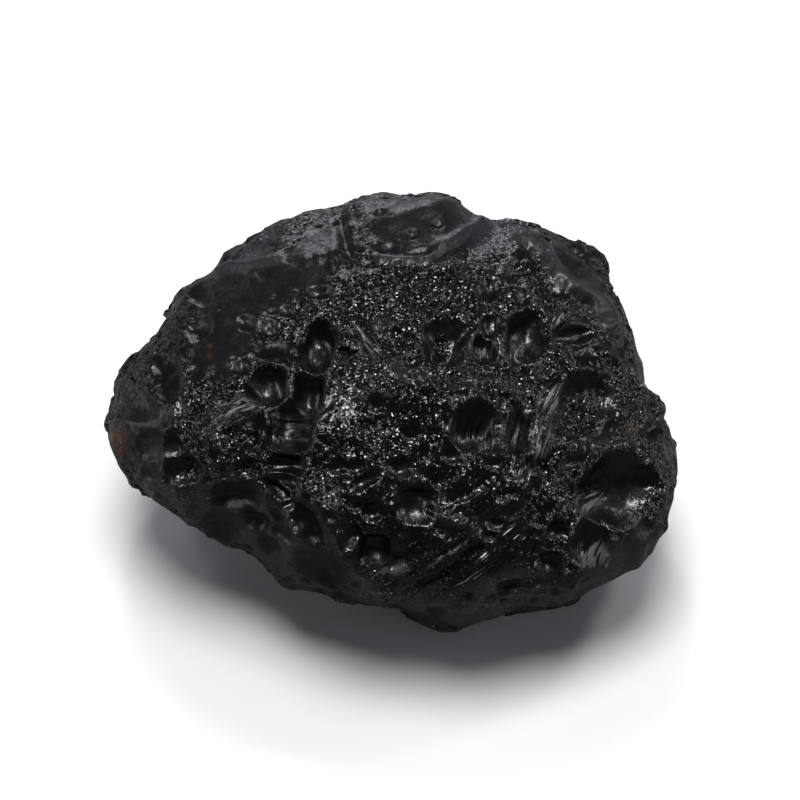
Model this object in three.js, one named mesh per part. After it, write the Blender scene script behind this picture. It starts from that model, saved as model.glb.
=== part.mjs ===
// A tektite: one lump of black natural glass, pitted and grooved all over, that rests on a small worn flat.
// Millimetres, +Z up, origin on the ground under the middle of the stone's bounding box.
//
// The broad face of the stone leans back. The form and the relief of that face are laid out in its own frame:
// "across" runs to the right (+X), "up" runs up the face and "out" points away from it.

import * as THREE from 'three';
import { mergeVertices } from 'three/addons/utils/BufferGeometryUtils.js';

// Overall form
const FACE_LEAN = THREE.MathUtils.degToRad(48); // how far "out" points above the horizon
const FRONT_DEPTH = 13.2; // from the rim out to the top of the broad face
const BACK_DEPTH = 14.6; // from the rim to the far side
const RIM_SLOPE = -0.32; // how much the rim drops back for each mm that it runs up the face
const TAPER = 1 / 260; // how much sections shrink for each mm outwards
const MIDDLE = [0.1, -0.8, 11.8]; // where the rim's middle sits: over the origin, at this height
const MESH_DETAIL = 20; // 20 * (20 + 1)^2 = 8820 triangles

// The rim: the widest section of the stone, [across, up], clockwise from the left tip
const RIM = [
  [-20.0, -1.0], [-19.4, 0.2], [-18.8, 2.7], [-16.8, 5.2], [-14.2, 8.8], [-11.3, 10.8],
  [-8.0, 13.1], [-4.2, 14.2], [-1.5, 15.0], [1.0, 15.1], [3.8, 15.1], [6.2, 13.6],
  [9.0, 13.1], [11.8, 12.1], [14.6, 10.6], [15.5, 8.8], [16.6, 6.0], [17.8, 2.4],
  [19.0, -1.0], [19.9, -2.6], [20.2, -3.8], [19.9, -5.9], [19.3, -7.7], [17.8, -10.1],
  [16.4, -11.1], [14.5, -12.5], [12.5, -13.4], [9.7, -14.1], [4.9, -15.0], [2.0, -14.1],
  [-1.4, -13.6], [-6.4, -12.6], [-9.2, -10.9], [-11.9, -9.2], [-14.9, -7.8], [-17.5, -5.8],
  [-19.1, -3.7],
];

// Broad swellings (height > 0) and hollows (height < 0) of the face: soft mounds with no edge
const MOUNDS = [
  { at: [3.5, 2.2], reach: [5.5, 1.9], turn: 0, height: 1.0 }, // brow across the middle
  { at: [3.0, -5.0], reach: [6.0, 4.0], turn: 20, height: 0.5 }, // face below the brow
  { at: [2.0, 13.6], reach: [3.6, 1.4], turn: 0, height: 0.9 }, // lump at the top
  { at: [0.6, 11.4], reach: [3.2, 0.9], turn: 0, height: -0.7 }, // saddle in front of that lump
  { at: [14.5, 9.4], reach: [2.6, 1.6], turn: -40, height: -0.9 }, // flat behind the crest
  { at: [-10.0, -8.6], reach: [5.5, 2.6], turn: -32, height: -0.9 }, // belly on the left
  { at: [-12.5, 6.5], reach: [4.0, 3.0], turn: 45, height: -0.5 }, // left shoulder
  { at: [-16.8, -1.0], reach: [1.6, 3.0], turn: 0, height: -0.5 }, // neck behind the left tip
];

// Ridges: lines across the face that stand proud of it
const RIDGES = [
  { through: [[8.9, 11.7], [11.5, 10.4], [13.2, 8.5], [15.1, 7.2], [15.1, 5.7]], width: 0.8, height: 0.7 },
  { through: [[14.6, 4.2], [16.1, 2.9], [17.5, 0.6], [18.5, -0.4]], width: 0.8, height: 0.5 },
  { through: [[11.8, 1.7], [10.6, -0.3], [9.9, -3.0], [9.2, -5.2], [8.5, -7.6]], width: 0.8, height: 0.8 },
  { through: [[-5.6, -5.6], [-4.0, -7.6], [-2.8, -9.9], [-1.2, -11.8], [0.7, -13.3]], width: 1.0, height: 0.9 },
  { through: [[-15.8, -1.4], [-15.6, -4.2], [-14.6, -6.2]], width: 0.8, height: 0.5 },
  { through: [[-2.8, 12.4], [0.2, 12.2], [3.5, 11.6], [6.0, 12.8]], width: 0.7, height: 0.5 },
  { through: [[-11.9, 9.7], [-9.0, 10.2], [-6.8, 10.3]], width: 0.8, height: 0.5 },
];

// Scoops: bowls with a sharp edge, half sizes along and across their own long axis
const SCOOPS = [
  // the cluster of big bowls left of the middle
  { at: [-5.0, 4.7], reach: [2.1, 1.5], turn: 68, depth: 0.8 },
  { at: [-8.5, 1.9], reach: [1.7, 1.6], turn: 90, depth: 0.9 },
  { at: [-5.9, 0.0], reach: [2.9, 1.6], turn: 84, depth: 0.9 },
  { at: [-9.2, -2.7], reach: [2.1, 1.2], turn: 90, depth: 0.7 },
  { at: [-7.8, -4.0], reach: [2.0, 1.0], turn: -12, depth: 0.6 },
  { at: [-4.9, 8.4], reach: [1.3, 0.9], turn: 0, depth: 0.5 },
  { at: [-8.5, 5.9], reach: [1.1, 1.0], turn: 0, depth: 0.5 },
  // the left flank and the belly below it
  { at: [-16.0, 2.8], reach: [1.5, 1.0], turn: 80, depth: 0.6 },
  { at: [-14.5, -4.0], reach: [1.3, 1.1], turn: 90, depth: 0.6 },
  { at: [-13.5, 5.9], reach: [1.3, 1.1], turn: 30, depth: 0.6 },
  { at: [-11.1, -6.5], reach: [2.1, 1.3], turn: -10, depth: 0.7 },
  { at: [-9.9, -8.4], reach: [1.1, 0.9], turn: -20, depth: 0.5 },
  { at: [-5.9, -8.2], reach: [2.1, 0.9], turn: -55, depth: 0.5 },
  { at: [-4.9, -10.9], reach: [2.4, 1.5], turn: -12, depth: 0.8 },
  // the row of cavities right of the middle
  { at: [3.7, 5.3], reach: [1.8, 1.6], turn: 0, depth: 0.9 },
  { at: [7.0, 6.0], reach: [1.0, 1.0], turn: 0, depth: 0.6 },
  { at: [6.5, 4.3], reach: [1.9, 1.0], turn: 85, depth: 0.6 },
  { at: [9.3, 6.0], reach: [1.7, 1.4], turn: 0, depth: 0.8 },
  { at: [13.1, 5.2], reach: [1.6, 0.9], turn: -5, depth: 0.5 },
  { at: [8.8, 9.6], reach: [1.5, 1.3], turn: 20, depth: 0.7 },
  { at: [6.8, 8.5], reach: [1.0, 0.9], turn: 0, depth: 0.5 },
  // the hollows of the lower face
  { at: [5.7, -1.3], reach: [1.9, 1.7], turn: 70, depth: 1.0 },
  { at: [9.1, -1.4], reach: [2.3, 1.0], turn: 82, depth: 0.6 },
  { at: [1.9, -6.8], reach: [1.6, 1.4], turn: 0, depth: 0.8 },
  { at: [-1.2, -9.5], reach: [1.4, 1.1], turn: 0, depth: 0.6 },
  { at: [-1.3, -7.1], reach: [1.0, 0.9], turn: 0, depth: 0.5 },
  // the large bowls of the right side
  { at: [13.9, 0.4], reach: [2.8, 2.3], turn: 80, depth: 1.3 },
  { at: [15.8, -4.3], reach: [2.8, 2.0], turn: 12, depth: 1.1 },
  { at: [13.0, -6.4], reach: [1.8, 1.4], turn: 45, depth: 0.8 },
  { at: [14.4, -9.0], reach: [2.1, 1.6], turn: 70, depth: 0.9 },
  { at: [11.2, -10.6], reach: [1.2, 1.0], turn: 0, depth: 0.6 },
  // the top
  { at: [3.1, 12.6], reach: [2.1, 1.0], turn: 5, depth: 0.6 },
  { at: [-13.2, 8.3], reach: [1.2, 0.9], turn: 45, depth: 0.5 },
];

// The flow groove that sweeps down the lower face
const GROOVE = {
  through: [[7.4, -9.2], [5.8, -10.5], [3.2, -11.9], [0.8, -12.8]],
  width: 0.7,
  height: -0.7,
};

// The sides that the broad face doesn't reach: scoops and mounds scattered by rule
const SCATTER = { seed: 41, scoops: 150, scoopReach: [1.1, 2.9], depthShare: 0.42, mounds: 34, moundReach: [3.0, 6.0] };
const SCATTER_MOUND_HEIGHT = 0.75;
const FACE_EDGE = [0.02, 0.30]; // the face's relief fades out between these cosines to "out"
const SEAT_CLEARANCE = -0.86; // scattered scoops stay off directions that point lower than this
const NORMAL_STEP = 1e-3;

const GLASS = { color: 0x1c1d20, roughness: 0.22, metalness: 0 };

const OUT = new THREE.Vector3(0, -Math.cos(FACE_LEAN), Math.sin(FACE_LEAN));
const UP = new THREE.Vector3(0, Math.sin(FACE_LEAN), Math.cos(FACE_LEAN));
const ACROSS = new THREE.Vector3(1, 0, 0);
const middle = new THREE.Vector3(...MIDDLE);

const rimStations = RIM
  .map(([across, up]) => ({ angle: Math.atan2(up, across), radius: Math.hypot(across, up) }))
  .sort((a, b) => a.angle - b.angle);

function rimStation(index) {
  const count = rimStations.length;
  const turns = Math.floor(index / count);
  const station = rimStations[index - turns * count];
  return { angle: station.angle + turns * 2 * Math.PI, radius: station.radius };
}

function rimSlope(index) {
  const before = rimStation(index - 1);
  const after = rimStation(index + 1);
  return (after.radius - before.radius) / (after.angle - before.angle);
}

// A smooth closed curve through the rim's stations
function rimRadius(angle) {
  const next = rimStations.findIndex((station) => station.angle > angle);
  const index = (next < 0 ? rimStations.length : next) - 1;
  const start = rimStation(index);
  const end = rimStation(index + 1);
  const span = end.angle - start.angle;
  const t = (angle - start.angle) / span;
  const startPull = rimSlope(index) * span;
  const endPull = rimSlope(index + 1) * span;
  const rise = end.radius - start.radius;
  return start.radius + t * (startPull + t * (3 * rise - 2 * startPull - endPull + t * (startPull + endPull - 2 * rise)));
}

// Where a direction of the unit sphere (across, up, out) meets the plain form, and its place on the face
function formPoint(direction) {
  const radius = rimRadius(Math.atan2(direction.y, direction.x));
  const across = radius * direction.x;
  const up = radius * direction.y;
  const depth = direction.z > 0 ? FRONT_DEPTH : BACK_DEPTH;
  const out = depth * direction.z + RIM_SLOPE * up;
  const shrink = 1 - out * TAPER;
  const point = new THREE.Vector3()
    .addScaledVector(ACROSS, across * shrink)
    .addScaledVector(UP, up * shrink)
    .addScaledVector(OUT, out);
  return { point, across, up };
}

function formNormal(direction) {
  const helper = Math.abs(direction.z) < 0.9 ? new THREE.Vector3(0, 0, 1) : new THREE.Vector3(1, 0, 0);
  const side = new THREE.Vector3().crossVectors(helper, direction).normalize();
  const other = new THREE.Vector3().crossVectors(direction, side);
  const here = formPoint(direction).point;
  const along = formPoint(direction.clone().addScaledVector(side, NORMAL_STEP).normalize()).point.sub(here);
  const beyond = formPoint(direction.clone().addScaledVector(other, NORMAL_STEP).normalize()).point.sub(here);
  return along.cross(beyond).normalize();
}

// Squared distance from an elliptical feature's middle, 1 on its edge
function ellipseDistance(feature, across, up) {
  const turn = THREE.MathUtils.degToRad(feature.turn);
  const dx = across - feature.at[0];
  const dy = up - feature.at[1];
  const along = (dx * Math.cos(turn) + dy * Math.sin(turn)) / feature.reach[0];
  const aside = (dy * Math.cos(turn) - dx * Math.sin(turn)) / feature.reach[1];
  return along * along + aside * aside;
}

function lineDistance(through, across, up) {
  let nearest = Infinity;
  for (let i = 1; i < through.length; i++) {
    const [startX, startY] = through[i - 1];
    const [endX, endY] = through[i];
    const dx = endX - startX;
    const dy = endY - startY;
    const share = ((across - startX) * dx + (up - startY) * dy) / (dx * dx + dy * dy);
    const t = THREE.MathUtils.clamp(share, 0, 1);
    nearest = Math.min(nearest, Math.hypot(across - startX - t * dx, up - startY - t * dy));
  }
  return nearest;
}

function faceRelief(across, up) {
  let height = 0;
  for (const mound of MOUNDS) {
    height += mound.height * Math.exp(-ellipseDistance(mound, across, up));
  }
  for (const line of [...RIDGES, GROOVE]) {
    const share = lineDistance(line.through, across, up) / line.width;
    height += line.height * Math.exp(-share * share);
  }
  let floor = 0;
  for (const scoop of SCOOPS) {
    floor = Math.min(floor, scoop.depth * (ellipseDistance(scoop, across, up) - 1));
  }
  return height + floor;
}

// A repeatable stream of numbers between 0 and 1
function numberStream(seed) {
  let state = seed;
  return () => {
    state = (Math.imul(state, 1664525) + 1013904223) >>> 0;
    return state / 2 ** 32;
  };
}

function randomDirection(next) {
  const out = 2 * next() - 1;
  const angle = 2 * Math.PI * next() - Math.PI;
  const ring = Math.sqrt(1 - out * out);
  return new THREE.Vector3(ring * Math.cos(angle), ring * Math.sin(angle), out);
}

function scatterOver(count, reachRange, next) {
  const [smallest, largest] = reachRange;
  const spots = [];
  while (spots.length < count) {
    const direction = randomDirection(next);
    const reach = smallest + (largest - smallest) * next() ** 2;
    const lift = next();
    const middle = formPoint(direction).point;
    const facing = formNormal(direction);
    if (facing.dot(OUT) < FACE_EDGE[1] && facing.z > SEAT_CLEARANCE) {
      spots.push({ middle, reach, lift });
    }
  }
  return spots;
}

const nextNumber = numberStream(SCATTER.seed);
const scatteredScoops = scatterOver(SCATTER.scoops, SCATTER.scoopReach, nextNumber);
const scatteredMounds = scatterOver(SCATTER.mounds, SCATTER.moundReach, nextNumber);

function scatteredRelief(point) {
  let height = 0;
  for (const { middle, reach, lift } of scatteredMounds) {
    const share = point.distanceTo(middle) / reach;
    height += SCATTER_MOUND_HEIGHT * (2 * lift - 1) * Math.exp(-4 * share * share);
  }
  let floor = 0;
  for (const { middle, reach, lift } of scatteredScoops) {
    const share = point.distanceTo(middle) / reach;
    const depth = reach * SCATTER.depthShare * (0.6 + 0.6 * lift);
    floor = Math.min(floor, depth * (share * share - 1));
  }
  return height + floor;
}

function surfacePoint(direction) {
  const { point, across, up } = formPoint(direction);
  const normal = formNormal(direction);
  const faceShare = THREE.MathUtils.smoothstep(normal.dot(OUT), ...FACE_EDGE);
  const relief = faceShare * faceRelief(across, up) + (1 - faceShare) * scatteredRelief(point);
  point.addScaledVector(normal, relief).add(middle);
  point.z = Math.max(0, point.z); // what would reach below the ground is the worn flat
  return point;
}

function makeStoneGeometry() {
  const sphere = new THREE.IcosahedronGeometry(1, MESH_DETAIL);
  sphere.deleteAttribute('normal');
  sphere.deleteAttribute('uv');
  const geometry = mergeVertices(sphere, 1e-5);
  const positions = geometry.getAttribute('position');
  const direction = new THREE.Vector3();
  for (let i = 0; i < positions.count; i++) {
    direction.fromBufferAttribute(positions, i).normalize();
    positions.setXYZ(i, ...surfacePoint(direction).toArray());
  }
  geometry.computeVertexNormals();
  return geometry;
}

function makeTektite() {
  const stone = new THREE.Mesh(makeStoneGeometry(), new THREE.MeshStandardMaterial(GLASS));
  stone.name = 'tektite';
  return stone;
}

const model = new THREE.Group();
model.add(makeTektite());

export default model;
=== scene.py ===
import math

import bpy
import numpy as np
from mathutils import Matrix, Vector, kdtree, noise


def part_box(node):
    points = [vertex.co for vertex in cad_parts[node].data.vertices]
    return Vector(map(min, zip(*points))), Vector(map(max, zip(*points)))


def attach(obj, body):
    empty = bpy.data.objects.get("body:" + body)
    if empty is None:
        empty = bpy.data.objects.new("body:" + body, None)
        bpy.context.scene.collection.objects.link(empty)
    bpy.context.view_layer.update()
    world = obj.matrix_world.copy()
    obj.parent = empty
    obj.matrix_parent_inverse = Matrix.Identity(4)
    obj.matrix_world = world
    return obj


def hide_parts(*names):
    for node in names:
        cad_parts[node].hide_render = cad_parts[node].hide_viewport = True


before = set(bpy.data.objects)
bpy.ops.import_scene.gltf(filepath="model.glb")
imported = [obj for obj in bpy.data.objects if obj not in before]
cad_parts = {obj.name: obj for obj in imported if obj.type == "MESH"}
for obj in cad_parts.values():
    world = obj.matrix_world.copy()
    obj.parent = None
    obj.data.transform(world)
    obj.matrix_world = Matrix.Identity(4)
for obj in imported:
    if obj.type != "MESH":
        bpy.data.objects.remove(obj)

bl_info = {
    "name": "Tektite",
    "version": (1, 0, 0),
    "blender": (4, 5, 0),
    "location": "3D View > Sidebar > Tektite",
    "description": "Models a pitted lump of black natural glass and the pale studio it lies in",
    "category": "Add Mesh",
}

# ---- sizes and places
# Millimetres unless a name says otherwise. The relief of the broad face is laid out in its own frame:
# "across" runs to the right, "up" runs up the leaning face and "out" points away from it.

MM = 0.001
NODE = "tektite"

FACE_LEAN = math.radians(48)
FRONT_DEPTH = 13.2
BACK_DEPTH = 14.6
RIM_SLOPE = -0.32
TAPER = 1 / 260
MIDDLE = np.array([0.1, -0.8, 11.8])
FACE_EDGE = (0.02, 0.30)
NORMAL_STEP = 1e-3
NEARLY_OUT = 0.9
# Seeded patterns: steps of a line's noise, and how far a seed moves noise and cells along each axis
NOISE_STEPS = 512
NOISE_SHIFT = (7.3, 3.1, 5.7)
CELL_SHIFT = (4.9, 8.3, 2.7)

RIM = (
    (-20.0, -1.0), (-19.4, 0.2), (-18.8, 2.7), (-16.8, 5.2), (-14.2, 8.8), (-11.3, 10.8),
    (-8.0, 13.1), (-4.2, 14.2), (-1.5, 15.0), (1.0, 15.1), (3.8, 15.1), (6.2, 13.6),
    (9.0, 13.1), (11.8, 12.1), (14.6, 10.6), (15.5, 8.8), (16.6, 6.0), (17.8, 2.4),
    (19.0, -1.0), (19.9, -2.6), (20.2, -3.8), (19.9, -5.9), (19.3, -7.7), (17.8, -10.1),
    (16.4, -11.1), (14.5, -12.5), (12.5, -13.4), (9.7, -14.1), (4.9, -15.0), (2.0, -14.1),
    (-1.4, -13.6), (-6.4, -12.6), (-9.2, -10.9), (-11.9, -9.2), (-14.9, -7.8), (-17.5, -5.8),
    (-19.1, -3.7),
)

# Soft swellings and hollows: across, up, half length, half width, turn in degrees, height
MOUNDS = (
    (4.4, 0.9, 5.5, 1.5, -4, 0.9),  # brow across the middle
    (3.2, -5.2, 4.8, 2.8, -20, -0.9),  # hollow below the brow
    (2.0, 13.6, 3.6, 1.4, 0, 0.6),  # lump at the top
    (3.5, 13.1, 1.8, 0.7, 5, -0.35),  # dents in that lump
    (1.7, 14.6, 1.6, 0.6, 0, -0.25),
    (0.4, 12.9, 1.2, 0.6, 0, 0.3),
    (0.6, 11.4, 3.2, 1.1, 0, -0.4),  # saddle in front of it
    (14.5, 9.4, 2.6, 1.6, -40, -0.9),  # flat behind the crest
    (-10.0, -8.6, 5.5, 2.6, -32, -0.9),  # belly on the left
    (-12.5, 6.5, 4.0, 3.0, 45, -0.5),  # left shoulder
    (14.2, -6.0, 1.7, 1.8, 0, -0.8),  # floor of the big bowl on the right
    (-16.8, -1.0, 1.6, 3.0, 0, -0.5),  # neck behind the left tip
)

# Bowls with a sharp rim: across, up, half length, half width, turn in degrees, depth
BOWLS = (
    # the cluster of big bowls left of the middle
    (-5.1, 4.5, 1.9, 1.45, 78, 1.6), (-8.6, 1.7, 1.65, 1.5, 20, 1.5), (-6.9, -0.9, 2.15, 1.9, 85, 1.6),
    (-5.8, 1.3, 1.5, 1.25, 80, 1.6), (-9.2, -1.9, 1.65, 1.05, 95, 0.9), (-9.7, -4.0, 0.95, 0.9, 0, 0.5),
    (-7.4, -3.8, 1.65, 0.9, -5, 0.9), (-7.4, -4.9, 1.3, 0.55, -18, 0.5),
    (-8.0, -5.7, 1.25, 0.5, -35, 0.6), (-7.3, -6.6, 0.4, 0.4, 0, 0.35), (-5.7, -8.1, 1.9, 0.9, -62, 0.8),
    (-10.3, 3.1, 0.7, 0.55, 80, 0.5), (-4.9, 8.3, 1.05, 0.55, 0, 0.6),
    # the left flank and the belly below it
    (-15.5, 2.4, 1.9, 1.1, 100, 0.55), (-16.0, 3.0, 0.95, 0.55, 85, 0.5),
    (-14.7, 0.3, 1.05, 0.3, 85, 0.4), (-14.4, -4.2, 1.2, 1.1, 0, 0.7), (-15.2, -2.6, 0.55, 0.8, 0, 0.45),
    (-15.6, -4.9, 0.4, 0.55, 60, 0.3), (-13.5, 5.9, 1.05, 0.8, 30, 0.6), (-13.3, 8.3, 0.95, 0.7, 45, 0.5),
    (-10.1, 6.2, 0.75, 0.55, 0, 0.45), (-8.5, 5.9, 0.75, 0.55, 0, 0.4), (-7.2, 7.0, 0.55, 0.4, 0, 0.3),
    (-8.3, 4.2, 1.3, 0.75, 0, 0.25), (-11.0, -6.3, 2.1, 1.3, 3, 0.9), (-9.9, -8.3, 1.1, 0.9, -15, 0.7),
    (-8.1, -7.6, 0.8, 0.5, -60, 0.4), (-11.9, -8.4, 1.45, 0.8, -32, 0.5),
    (-7.7, -8.9, 1.25, 0.75, -25, 0.35), (-4.9, -11.0, 2.35, 1.3, -14, 0.8),
    (-8.9, -10.0, 1.05, 0.55, -35, 0.4), (-3.1, -12.6, 0.95, 0.4, -15, 0.3),
    (-16.8, -2.4, 1.25, 1.1, 80, 0.3), (-16.8, -4.6, 0.55, 0.8, 70, 0.25),
    # the row of cavities right of the middle
    (3.9, 4.8, 1.95, 1.75, 90, 2.0), (7.1, 6.0, 0.85, 0.85, 0, 0.8), (6.6, 4.4, 1.15, 0.95, 85, 1.1),
    (9.5, 5.2, 1.85, 1.5, 90, 1.6), (12.8, 5.4, 1.5, 0.6, -4, 0.9), (13.8, 4.1, 1.0, 0.7, 10, 0.5),
    (6.8, 8.4, 0.9, 0.8, 0, 0.65), (8.4, 9.4, 0.9, 0.6, 60, 0.5), (9.3, 7.8, 0.6, 0.55, 0, 0.4),
    (4.0, 7.8, 0.5, 0.4, 0, 0.35), (11.6, 8.5, 0.55, 0.6, 0, 0.4), (8.8, 10.3, 0.6, 0.4, 30, 0.35),
    (1.5, 3.1, 0.6, 0.5, 0, 0.3), (16.0, 3.6, 0.95, 0.55, -30, 0.5),
    # the hollows of the lower face
    (5.7, -1.2, 1.75, 1.65, 75, 0.9), (8.9, -1.2, 1.9, 0.8, 84, 0.6), (4.7, 0.6, 0.8, 0.7, 0, 0.5),
    (-0.9, 0.4, 0.6, 0.6, 0, 0.4), (1.5, -1.5, 0.7, 0.55, 0, 0.35), (5.3, 1.7, 0.5, 0.4, 0, 0.3),
    (4.4, -2.9, 0.9, 0.75, 0, 0.45), (0.7, -4.0, 0.95, 0.8, 0, 0.35), (-3.7, -3.9, 0.75, 0.6, 0, 0.35),
    (-2.4, -3.9, 0.7, 0.6, 0, 0.35), (1.9, -6.8, 1.65, 1.4, 0, 0.7), (-1.2, -7.1, 0.8, 0.75, 0, 0.5),
    (-2.3, -6.8, 0.4, 0.4, 0, 0.3), (-2.7, -8.6, 0.75, 0.7, 0, 0.55), (-1.1, -9.6, 1.3, 1.05, 0, 0.9),
    (0.6, -10.3, 0.75, 0.6, 10, 0.55), (7.6, -8.1, 0.6, 0.55, 0, 0.35), (7.0, -8.9, 0.55, 0.35, 10, 0.35),
    (8.3, -12.2, 0.9, 0.5, 10, 0.4), (3.2, -14.0, 0.7, 0.35, 0, 0.25), (7.2, -3.7, 0.5, 0.4, 0, 0.3),
    (8.5, -5.8, 0.4, 0.35, 0, 0.3), (-1.7, -4.9, 1.1, 0.6, 30, 0.35),
    # the large bowls of the right side
    (13.8, 0.2, 2.55, 2.3, 80, 1.7), (15.9, -5.5, 3.0, 2.4, 62, 1.9), (15.0, -8.3, 0.6, 0.6, 0, 0.5),
    (13.9, -9.2, 1.95, 1.4, 60, 1.1), (11.7, -8.4, 0.8, 0.7, 0, 0.5), (11.3, -10.6, 0.9, 0.75, 0, 0.6),
    (11.8, -10.7, 0.4, 0.4, 0, 0.35), (11.5, -12.7, 0.4, 0.3, 0, 0.3), (18.1, -1.5, 0.55, 0.5, 0, 0.4),
    (12.8, -3.6, 0.9, 0.6, 20, 0.45), (11.9, -1.0, 0.8, 0.6, 60, 0.4),
    # the top
    (0.1, 11.4, 0.95, 0.5, 0, 0.35), (1.9, 11.0, 1.4, 0.5, 0, 0.3),
)
# How much shallower a bowl is at its top and deeper at its foot than in its middle, as a share of its depth
BOWL_TIP = 0.2
# Above 2 the outline of a bowl is squarer than an ellipse, and its floor is flatter than a dish
BOWL_SQUARENESS = 2.5
BOWL_FLATNESS = 3.0
# How far out from the middle of a bowl, or of a scattered scoop, counts as wholly inside it
BOWL_INNER = 0.87
SCOOP_INNER = 0.85
# Bowls whose inside is as rough as the surface round them: across, up, half length, half width, turn
ROUGH_INSIDES = (
    (13.8, 0.0, 1.9, 1.6, 80),
    (-9.2, -1.9, 1.5, 1.0, 95),
    (-9.7, -4.0, 1.0, 0.9, 0),
    (-14.4, -4.2, 1.2, 1.1, 0),
    (3.7, 5.1, 0.6, 0.7, 0),
    (5.2, 4.4, 0.35, 0.45, 0),
    (14.9, -6.3, 1.4, 0.8, 35),
)

# Knobs: radius, height, and each one's place across and up
KNOBS = (
    (0.69, 0.4, ((-10.6, -0.1), (-3.5, 3.1))),
    (0.62, 0.4, ((-0.6, 2.4), (6.9, 1.5), (7.4, -2.6), (1.3, -4.8))),
    (0.62, 0.35, ((-5.3, 7.2), (3.5, 5.0))),
    (0.62, 0.3, ((-9.5, 8.9),)),
    (0.56, 0.35, ((8.2, 1.7), (10.8, -2.3), (10.2, -3.1))),
    (0.56, 0.3, ((2.8, 1.7), (4.1, -1.5), (14.4, -2.6), (9.0, 8.8))),
    (0.56, 0.25, ((-1.5, -10.8),)),
    (0.56, 0.2, ((13.7, 10.7), (14.2, 9.3))),
    (0.49, 0.4, ((5.2, 4.3),)),
    (0.49, 0.35, ((4.0, -7.6), (4.8, -7.9), (18.9, -1.6), (8.8, 10.5))),
    (0.49, 0.3, ((-11.7, 0.0), (5.5, 1.8), (2.5, -3.9), (13.2, -4.0), (6.5, 9.9), (3.9, 9.7))),
    (0.49, 0.25, ((16.5, -1.4), (0.0, 6.2), (-6.7, -2.8), (-6.2, -1.2))),
    (0.49, 0.2, ((13.8, 8.7),)),
    (0.42, 0.35, ((-15.1, -1.2), (0.5, -10.8))),
    (0.42, 0.3, ((-4.9, 10.5), (-3.9, 10.8), (-2.7, 4.0), (2.2, -5.0), (0.8, -9.1), (10.1, -4.7),
        (14.9, 0.6), (10.1, -11.1))),
    (0.42, 0.25, ((-10.2, 0.8), (-3.9, 4.0), (3.5, 2.2), (2.4, -1.0), (9.4, -5.3), (13.8, -2.9),
        (12.6, -12.2), (4.3, 10.3), (-3.2, -8.5), (-2.6, -9.2))),
    (0.42, 0.2, ((-6.4, -8.6), (-1.0, -2.8))),
    (0.35, 0.3, ((-11.2, 3.5), (-8.8, 6.4), (4.7, 0.4), (18.4, -0.4))),
    (0.35, 0.25, ((-9.5, 0.6), (-16.3, -6.1), (3.5, 4.6), (1.7, 0.6), (3.1, -1.2), (1.5, -1.5),
        (8.2, -2.5), (6.7, -2.5), (1.0, -3.0), (6.5, -3.9), (2.9, -7.2), (9.7, -12.5), (12.4, 7.5),
        (12.4, 8.2), (0.6, 11.6), (-2.9, 12.8))),
    (0.35, 0.2, ((3.0, 9.4), (0.1, 5.8), (1.0, 3.8), (0.7, 8.3), (1.9, 8.1), (3.3, 11.3),
        (-10.2, -9.1), (-8.9, -9.4), (-4.2, -5.1), (-2.6, -1.9), (-3.0, -3.6), (-4.1, -3.8),
        (-2.4, -5.9))),
    (0.31, 0.25, ((-4.0, 10.1),)),
    (0.31, 0.2, ((-5.8, 10.3),)),
    (0.28, 0.25, ((-14.5, 3.7), (-14.2, 2.6))),
    (0.28, 0.2, ((-14.7, -2.1), (5.5, -7.1), (6.2, 8.8), (-1.0, 11.7), (-10.6, -7.7), (-4.7, -6.0))),
    (0.24, 0.2, ((-12.6, 2.8),)),
)

# Crests that are raised and smooth as well
LUMP_CREST = ((3.8, 11.3), (4.9, 12.1), (5.8, 12.6), (6.3, 13.0))
SADDLE_CREST = ((-0.7, 10.6), (1.2, 10.4), (2.6, 10.4), (3.5, 11.3))
SHOULDER_CREST = ((-11.9, 9.7), (-11.0, 10.0), (-9.7, 9.9), (-8.9, 10.1), (-7.9, 10.4))

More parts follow.
